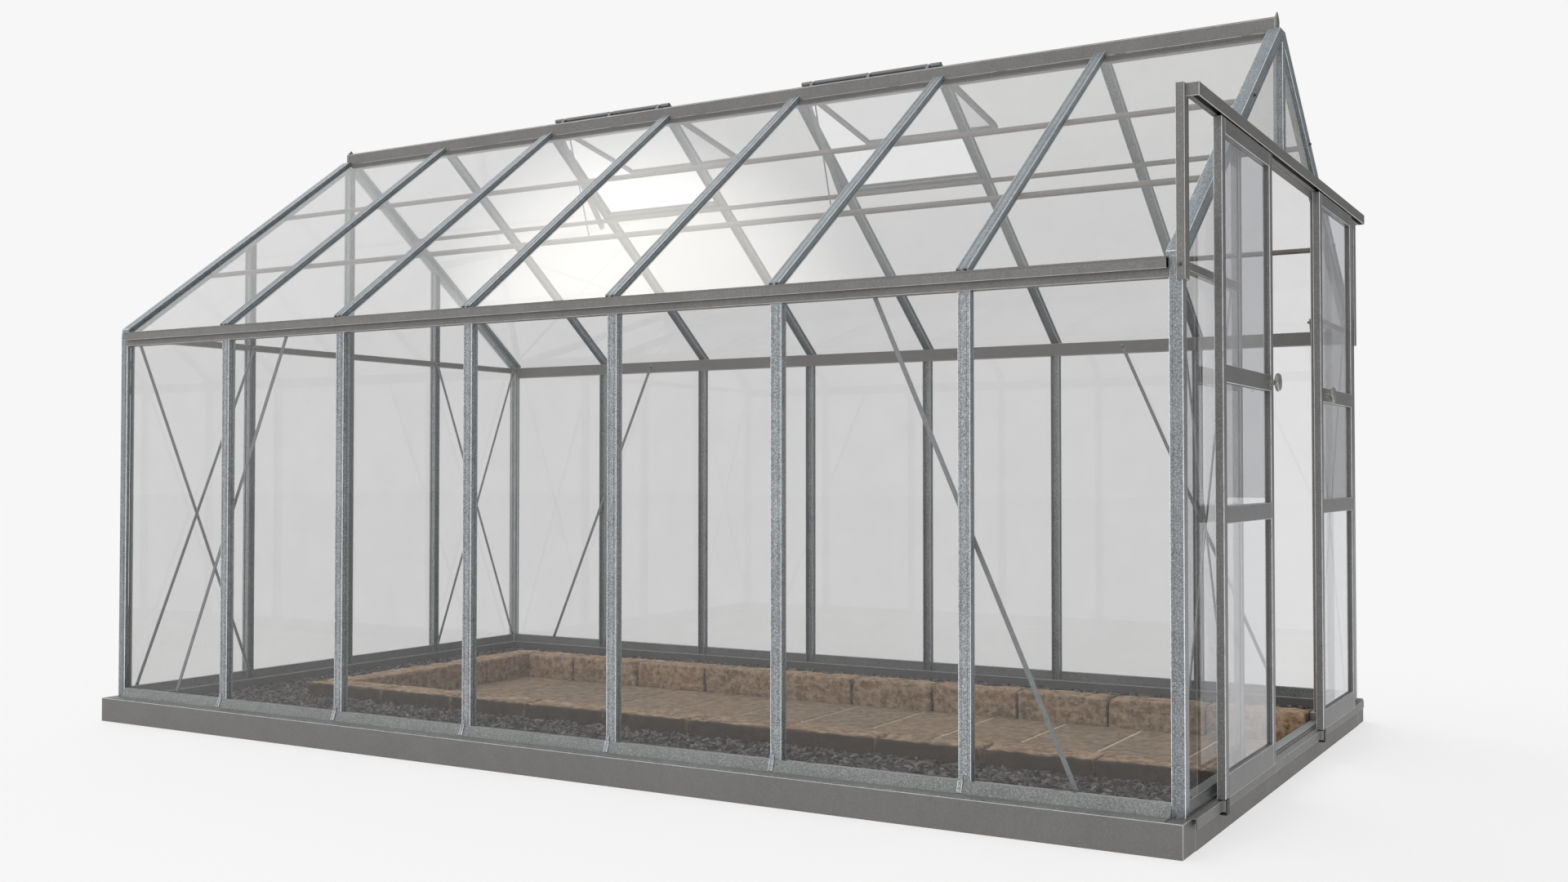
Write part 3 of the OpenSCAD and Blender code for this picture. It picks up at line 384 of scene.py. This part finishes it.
FINISH["roller_plastic"] = dark_plastic("roller_plastic", "2a2a2b", "5a5a5a", 0.45)


# ---------------------------------------------------------------- pieces
def finish_piece(name, work, body, slot, stands_for=(), finish=None):
    """A bmesh becomes a piece that rides on a body, takes a slot's finish and stands for its CAD nodes."""
    mesh = bpy.data.meshes.new(name)
    work.to_mesh(mesh)
    work.free()
    piece = bpy.data.objects.new(name, mesh)
    scene.collection.objects.link(piece)
    mesh.materials.append(FINISH[finish or slot])
    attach(piece, body)
    if stands_for:
        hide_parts(*stands_for)
    return piece


MERGE = 1e-5
FLAT_ANGLE = math.radians(0.5)
SHARP_ANGLE = math.radians(25)
SHORTEST_CORNER = 0.03
ROOM_FOR_BEVEL = 2.6


def eased_member(node, body, slot, width, finish=None):
    """A CAD node's shape with its long outer corners rounded; the rounded strips are marked for wear and a
    painted highlight.
    """
    work = bmesh.new()
    work.from_mesh(frame["nodes"][node].data)
    worn_highlight = work.faces.layers.float.new("worn_highlight_edge")
    bmesh.ops.remove_doubles(work, verts=work.verts, dist=MERGE)
    bmesh.ops.dissolve_limit(work, angle_limit=FLAT_ANGLE, verts=work.verts, edges=work.edges)
    corners = []
    for edge in work.edges:
        length = edge.calc_length()
        if length < SHORTEST_CORNER or len(edge.link_faces) != 2 or not edge.is_convex:
            continue
        if edge.calc_face_angle(0) < SHARP_ANGLE:
            continue
        if min(face.calc_area() for face in edge.link_faces) / length > ROOM_FOR_BEVEL * width:
            corners.append(edge)
    made = bmesh.ops.bevel(work, geom=corners, offset=width, offset_type="OFFSET", affect="EDGES",
                           segments=2, profile=0.5, material=-1, clamp_overlap=True)
    # The rounded strips get the mark for wear and the painted highlight.
    for face in made["faces"]:
        face[worn_highlight] = 1.0
    return finish_piece(node + "_eased", work, body, slot, (node,), finish)


def solids_of(node):
    """The box of each separate solid in a CAD node."""
    work = bmesh.new()
    work.from_mesh(frame["nodes"][node].data)
    bmesh.ops.remove_doubles(work, verts=work.verts, dist=MERGE)
    left = set(work.verts)
    boxes = []
    while left:
        group = [left.pop()]
        for vert in group:
            for edge in vert.link_edges:
                other = edge.other_vert(vert)
                if other in left:
                    left.remove(other)
                    group.append(other)
        low = Vector([min(v.co[i] for v in group) for i in range(3)])
        high = Vector([max(v.co[i] for v in group) for i in range(3)])
        boxes.append((low, high))
    work.free()
    return sorted(boxes, key=lambda b: (round(b[0].y, 3), round(b[0].x, 3)))


def hewn_block(low, high, cell, rounding, chip, ripple, seed):
    """A stone with rounded arrises and a worked surface, cut inwards from its box."""
    size = high - low
    centre = (low + high) / 2
    work = bmesh.new()
    bmesh.ops.create_cube(work, size=2.0)
    for axis in range(3):
        along = [e for e in work.edges
                 if abs((e.verts[0].co - e.verts[1].co)[axis]) > 1e-6]
        cuts = max(3, round(size[axis] / cell))
        bmesh.ops.subdivide_edges(work, edges=along, cuts=cuts, use_grid_fill=True)
    offset = Vector((seed * 3.7, seed * 1.9, seed * 5.3))
    for vert in work.verts:
        place = Vector((0, 0, 0))
        for axis in range(3):
            t = vert.co[axis]
            place[axis] = math.copysign(1 - (1 - abs(t)) ** 1.35, t) * size[axis] / 2
        reach = size / 2 - Vector((rounding, rounding, rounding))
        inner = Vector([max(-reach[a], min(reach[a], place[a])) for a in range(3)])
        out = place - inner
        if out.length > 1e-9:
            out.normalize()
            depth = chip * abs(noise.fractal((centre + place) * 13 + offset, 1.0, 2.0, 3))
            depth += ripple * abs(noise.noise((centre + place) * 70 + offset))
            place = inner + out * (rounding - depth)
        vert.co = centre + place
    bmesh.ops.recalc_face_normals(work, faces=work.faces)
    mesh = bpy.data.meshes.new("stone_block")
    work.to_mesh(mesh)
    work.free()
    return mesh


SHADE_DEPTH = 0.03


def stone_course(name, node, cell, rounding, chip, ripple):
    """All the stones of one CAD node as worked blocks, each its own tone, with painted shade on the course's
    near side.
    """
    draw = random.Random(node)
    work = bmesh.new()
    tone = work.faces.layers.float.new("stone_tone")
    painted_shade = work.faces.layers.float.new("stone_painted_shade")
    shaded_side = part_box(node)[0].y + SHADE_DEPTH
    for count, (low, high) in enumerate(solids_of(node)):
        block = hewn_block(low, high, cell, rounding, chip, ripple, count + 1)
        before = len(work.faces)
        work.from_mesh(block)
        work.faces.ensure_lookup_table()
        shade = draw.random()
        for face in work.faces[before:]:
            face[tone] = shade
            # Painted shade on the course's near side, strongest on faces turned towards -Y.
            if face.calc_center_median().y < shaded_side:
                face[painted_shade] = max(0.0, -face.normal.y)
            face.smooth = True
        bpy.data.meshes.remove(block)
    return finish_piece(name, work, "frame", node[:-1], (node,))


def chip_tile(side, draw, count):
    """One square tile of flat slate flakes lying at all angles, as a mesh."""
    work = bmesh.new()
    tone = work.verts.layers.float.new("chip_tone")
    for number in range(count):
        length = draw.uniform(0.009, 0.023)
        size = (length, length * draw.uniform(0.28, 0.5), draw.uniform(0.004, 0.008))
        turn = Matrix.Rotation(draw.uniform(0, math.tau), 4, "Z")
        tilt = Matrix.Rotation(draw.gauss(0, 0.42), 4, "X") @ Matrix.Rotation(draw.gauss(0, 0.3), 4, "Y")
        place = Vector((draw.uniform(0, side), draw.uniform(0, side), draw.uniform(-0.008, 0.002)))
        place.z += 0.004 * noise.noise(Vector((place.x * 25, place.y * 25, number % 3)))
        matrix = Matrix.Translation(place) @ tilt @ turn @ Matrix.Diagonal((*size, 1))
        made = bmesh.ops.create_cone(work, cap_ends=True, segments=5, radius1=1.0,
                                     radius2=draw.uniform(0.35, 0.7), depth=1.0, matrix=matrix)
        shade = draw.random() ** 1.5
        for vert in made["verts"]:
            vert.co += Vector((draw.gauss(0, 0.0011), draw.gauss(0, 0.0011), draw.gauss(0, 0.0006)))
            vert[tone] = shade
    mesh = bpy.data.meshes.new("chip_tile")
    work.to_mesh(mesh)
    work.free()
    return mesh


BED_CELL = 0.03
FLAKE_COVER = 0.008
FREE_DEPTH = 0.02


def bed_base(low, high):
    """The dark, uneven body of a bed under its loose flakes."""
    base = bmesh.new()
    columns = max(2, round((high.x - low.x) / BED_CELL))
    rows = max(2, round((high.y - low.y) / BED_CELL))
    bmesh.ops.create_grid(base, x_segments=columns, y_segments=rows, size=0.5)
    for vert in base.verts:
        x = low.x + (vert.co.x + 0.5) * (high.x - low.x)
        y = low.y + (vert.co.y + 0.5) * (high.y - low.y)
        vert.co = (x, y, high.z - FLAKE_COVER + 0.004 * noise.noise(Vector((x * 11, y * 11, 2))))
    rim = [edge for edge in base.edges if edge.is_boundary]
    walls = bmesh.ops.extrude_edge_only(base, edges=rim)
    for item in walls["geom"]:
        if isinstance(item, bmesh.types.BMVert):
            item.co.z = low.z
    bmesh.ops.contextual_create(base, geom=[edge for edge in base.edges if edge.is_boundary])
    bmesh.ops.recalc_face_normals(base, faces=base.faces)
    mesh = bpy.data.meshes.new("bed_base")
    base.to_mesh(mesh)
    base.free()
    return mesh


def slate_bed(low, high, tiles, side, draw, heap=0.0):
    """A bed filled with tiles of flakes; heap lifts its surface towards the far side in Y."""
    work = bmesh.new()
    work.verts.layers.float.new("chip_tone")
    base = bed_base(low, high)
    work.from_mesh(base)
    bpy.data.meshes.remove(base)
    across = max(1, round((high.x - low.x) / side))
    deep = max(1, round((high.y - low.y) / side))
    step_x = (high.x - low.x) / across
    step_y = (high.y - low.y) / deep
    for column in range(across):
        for row in range(deep):
            middle = Vector((low.x + (column + 0.5) * step_x, low.y + (row + 0.5) * step_y, high.z - 0.001))
            place = (Matrix.Translation(middle) @ Matrix.Rotation(draw.choice((0.0, math.pi)), 4, "Z")
                     @ Matrix.Diagonal((step_x / side, step_y / side, 1, 1))
                     @ Matrix.Translation((-side / 2, -side / 2, 0)))
            copy = draw.choice(tiles).copy()
            copy.transform(place)
            work.from_mesh(copy)
            bpy.data.meshes.remove(copy)
    for vert in work.verts:
        if vert.co.z > low.z + FREE_DEPTH:
            share = max(0.0, (vert.co.y - low.y) / (high.y - low.y))
            vert.co.z += heap * share * share
    return work


# metal members: node, finish slot, width of the rounded corner
MEMBERS = [
    ("base_long_rails", "plinth_steel", 0.004), ("base_end_rails", "plinth_steel", 0.003),
    ("long_sills", "sill_aluminium", 0.0012), ("gable_sills", "sill_aluminium", 0.0015),
    ("door_threshold", "sill_aluminium", 0.0012), ("corner_posts", "bar_aluminium", 0.0028),
    ("near_wall_bars", "bar_aluminium", 0.0016), ("far_wall_bars", "bar_aluminium", 0.0016),
    ("eave_bars", "rail_aluminium", 0.0022), ("near_roof_bars", "roof_bar_aluminium", 0.0016),
    ("far_roof_bars", "roof_bar_aluminium", 0.0016), ("gable_rafters", "roof_bar_aluminium", 0.002),
    ("ridge_bar", "rail_aluminium", 0.002), ("ridge_caps", "rail_aluminium", 0.001),
    ("back_gable_posts", "bar_aluminium", 0.0016), ("gable_crossbars", "rail_aluminium", 0.0015),
    ("door_jambs", "rail_aluminium", 0.002), ("door_header", "rail_aluminium", 0.002),
    ("door_gable_mullion", "bar_aluminium", 0.0016), ("top_track", "track_aluminium", 0.0015),
    ("track_supports", "track_aluminium", 0.0012), ("track_brackets", "track_aluminium", 0.002),
    ("bottom_track", "track_aluminium", 0.0008), ("wall_braces", "brace_steel", 0.0008),
    ("gable_braces", "brace_steel", 0.0008), ("vent_sills", "vent_aluminium", 0.0012),
    ("vent_hinge_bars", "vent_aluminium", 0.0008), ("arm_brackets", "brace_steel", 0.0008),
    ("near_door_stiles", "door_aluminium", 0.0022), ("near_door_rails", "door_aluminium", 0.002),
    ("far_door_stiles", "door_aluminium", 0.0022), ("far_door_rails", "door_aluminium", 0.002),
    ("near_door_guide", "guide_plastic", 0.0008), ("far_door_guide", "guide_plastic", 0.0008),
    ("vent_a_frame", "vent_aluminium", 0.0015), ("vent_b_frame", "vent_aluminium", 0.0015),
    ("arm_a", "brace_steel", 0.001), ("arm_b", "brace_steel", 0.001),
]
BODY_OF = {node: body for body, nodes in frame["record"]["behaviour"]["bodies"].items() for node in nodes}
# Corner posts take the darker copy of the bar aluminium: painted shade.
SHADED_POST_FINISH = {"corner_posts": "shaded_post_aluminium"}
for member, member_slot, corner in MEMBERS:
    eased_member(member, BODY_OF[member], member_slot, corner, SHADED_POST_FINISH.get(member))

# stones, slabs and the mortar between the slabs
stone_course("kerb_stone_course", "kerb_stones", cell=0.013, rounding=0.012, chip=0.009, ripple=0.0024)
stone_course("flagstones", "paving_stones", cell=0.02, rounding=0.009, chip=0.0011, ripple=0.0004)

MORTAR_INSET = 0.004
MORTAR_DEPTH = 0.0019
slab_low, slab_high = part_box("paving_stones")
slab_size = slab_high - slab_low
pointing = bmesh.new()
bmesh.ops.create_grid(pointing, x_segments=120, y_segments=34, size=0.5)
for point in pointing.verts:
    x = slab_low.x + MORTAR_INSET + (point.co.x + 0.5) * (slab_size.x - 2 * MORTAR_INSET)
    y = slab_low.y + MORTAR_INSET + (point.co.y + 0.5) * (slab_size.y - 2 * MORTAR_INSET)
    trowelled = 0.0003 * noise.noise(Vector((x * 40, y * 40, 5)))
    point.co = (x, y, slab_high.z - MORTAR_DEPTH + trowelled)
pointing_rim = [edge for edge in pointing.edges if edge.is_boundary]
skirt = bmesh.ops.extrude_edge_only(pointing, edges=pointing_rim)
for item in skirt["geom"]:
    if isinstance(item, bmesh.types.BMVert):
        item.co.z = slab_low.z
bmesh.ops.contextual_create(pointing, geom=[edge for edge in pointing.edges if edge.is_boundary])
bmesh.ops.recalc_face_normals(pointing, faces=pointing.faces)
finish_piece("slab_pointing", pointing, "frame", "paving_stone", (), "mortar")

# chippings in the beds: each bed's box and the height that its surface gains towards its far side
bed_low, bed_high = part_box("gravel_bed")
kerb_low, kerb_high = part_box("kerb_stones")
TILE = 0.28
FLAKES_PER_TILE = 390
NEAR_HEAP = 0.018
chance = random.Random(11)
chip_tiles = [chip_tile(TILE, chance, FLAKES_PER_TILE) for _ in range(4)]
beds = {
    "near_slate_bed": (Vector((kerb_low.x, bed_low.y, bed_low.z)),
                       Vector((bed_high.x, kerb_low.y, bed_high.z)), NEAR_HEAP),
    "far_slate_bed": (Vector((kerb_low.x, kerb_high.y, bed_low.z)), bed_high, 0.0),
    "end_slate_bed": (bed_low, Vector((kerb_low.x, bed_high.y, bed_high.z)), 0.0),
}
for bed_name, (low, high, heap) in beds.items():
    slate = slate_bed(low, high, chip_tiles, TILE, chance, heap)
    finish_piece(bed_name, slate, "frame", "gravel", ("gravel_bed",))

# finishes on the CAD nodes that keep their own shape
slot_of = {entry["node"]: entry["material_slot"] for entry in frame["record"]["subparts"]}
for node_name, node_object in frame["nodes"].items():
    node_object.data.materials.clear()
    node_object.data.materials.append(FINISH[slot_of[node_name]])

# ---------------------------------------------------------------- stage, light, camera
FLOOR_TONE = 0.26
FLOOR_GLOW = 0.655
BACKDROP = hex_colour("f7f7f7")
SOFT_SIDE = Vector((-0.6, -0.68, 0.42))
SUN_SIDE = Vector((-0.579, 0.300, 0.758))
SUN_SPREAD = math.radians(9)
SUN_COLOUR = (1, 0.965, 0.9, 1)
KEY_DIRECTION = Vector((0.57, -0.375, -0.73))

floor_work = bmesh.new()
bmesh.ops.create_grid(floor_work, x_segments=2, y_segments=2, size=60)
floor_mesh = bpy.data.meshes.new("studio_floor")
floor_work.to_mesh(floor_mesh)
floor_work.free()
floor = bpy.data.objects.new("studio_floor", floor_mesh)
scene.collection.objects.link(floor)
floor_finish, floor_tree, floor_shader = new_finish("studio_floor")
for socket_name, setting in (("Base Color", (FLOOR_TONE, FLOOR_TONE, FLOOR_TONE, 1)),
                             ("Emission Color", (1, 1, 1, 1)), ("Emission Strength", FLOOR_GLOW),
                             ("Roughness", 0.9), ("Specular IOR Level", 0.0)):
    floor_shader.inputs[socket_name].default_value = setting
floor_mesh.materials.append(floor_finish)
floor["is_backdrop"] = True

world = bpy.data.worlds.new("studio")
scene.world = world
world.use_nodes = True
sky = world.node_tree
sky.nodes.clear()
look = add(sky, "ShaderNodeTexCoord").outputs["Generated"]


def towards(direction):
    """How nearly a ray of the sky runs in a direction, from -1 to 1."""
    unit = direction.normalized()
    return add(sky, "ShaderNodeVectorMath", {0: look, 1: unit}, operation="DOT_PRODUCT").outputs["Value"]


soft_side = span(sky, towards(SOFT_SIDE), -1.0, 1.0, 0.17, 1.24, smooth=True)
sun_glow = span(sky, towards(SUN_SIDE), math.cos(SUN_SPREAD), 1.0, 0.0, 1.0, smooth=True)
level = maths(sky, "ADD", soft_side, maths(sky, "MULTIPLY", sun_glow, 2.7))
warm_light = blend(sky, sun_glow, (1, 1, 1, 1), SUN_COLOUR)
rays = add(sky, "ShaderNodeLightPath")
seen = maths(sky, "MAXIMUM", rays.outputs["Is Camera Ray"], rays.outputs["Is Transmission Ray"])
lit = add(sky, "ShaderNodeBackground", {"Color": warm_light, "Strength": level})
shown = add(sky, "ShaderNodeBackground", {"Color": BACKDROP, "Strength": 1.0})
both_skies = add(sky, "ShaderNodeMixShader", {0: seen, 1: lit.outputs[0], 2: shown.outputs[0]})
add(sky, "ShaderNodeOutputWorld", {"Surface": both_skies.outputs[0]})

key = bpy.data.lights.new("soft_key", "SUN")
key.energy = 0.66
key.angle = math.radians(38)
key_lamp = bpy.data.objects.new("soft_key", key)
key_lamp.rotation_mode = "QUATERNION"
key_lamp.rotation_quaternion = KEY_DIRECTION.to_track_quat("-Z", "Y")
scene.collection.objects.link(key_lamp)
key_lamp.visible_glossy = False
key_lamp.visible_transmission = False

camera_data = bpy.data.cameras.new("camera")
camera_data.sensor_width = 36
camera_data.lens = 34.92
camera = bpy.data.objects.new("camera", camera_data)
camera.location = (3.29777, -5.17497, 0.99120)
camera.rotation_mode = "QUATERNION"
camera.rotation_quaternion = Vector((-0.50799, 0.86109, 0.02182)).to_track_quat("-Z", "Y")
scene.collection.objects.link(camera)
scene.camera = camera

low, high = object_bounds()
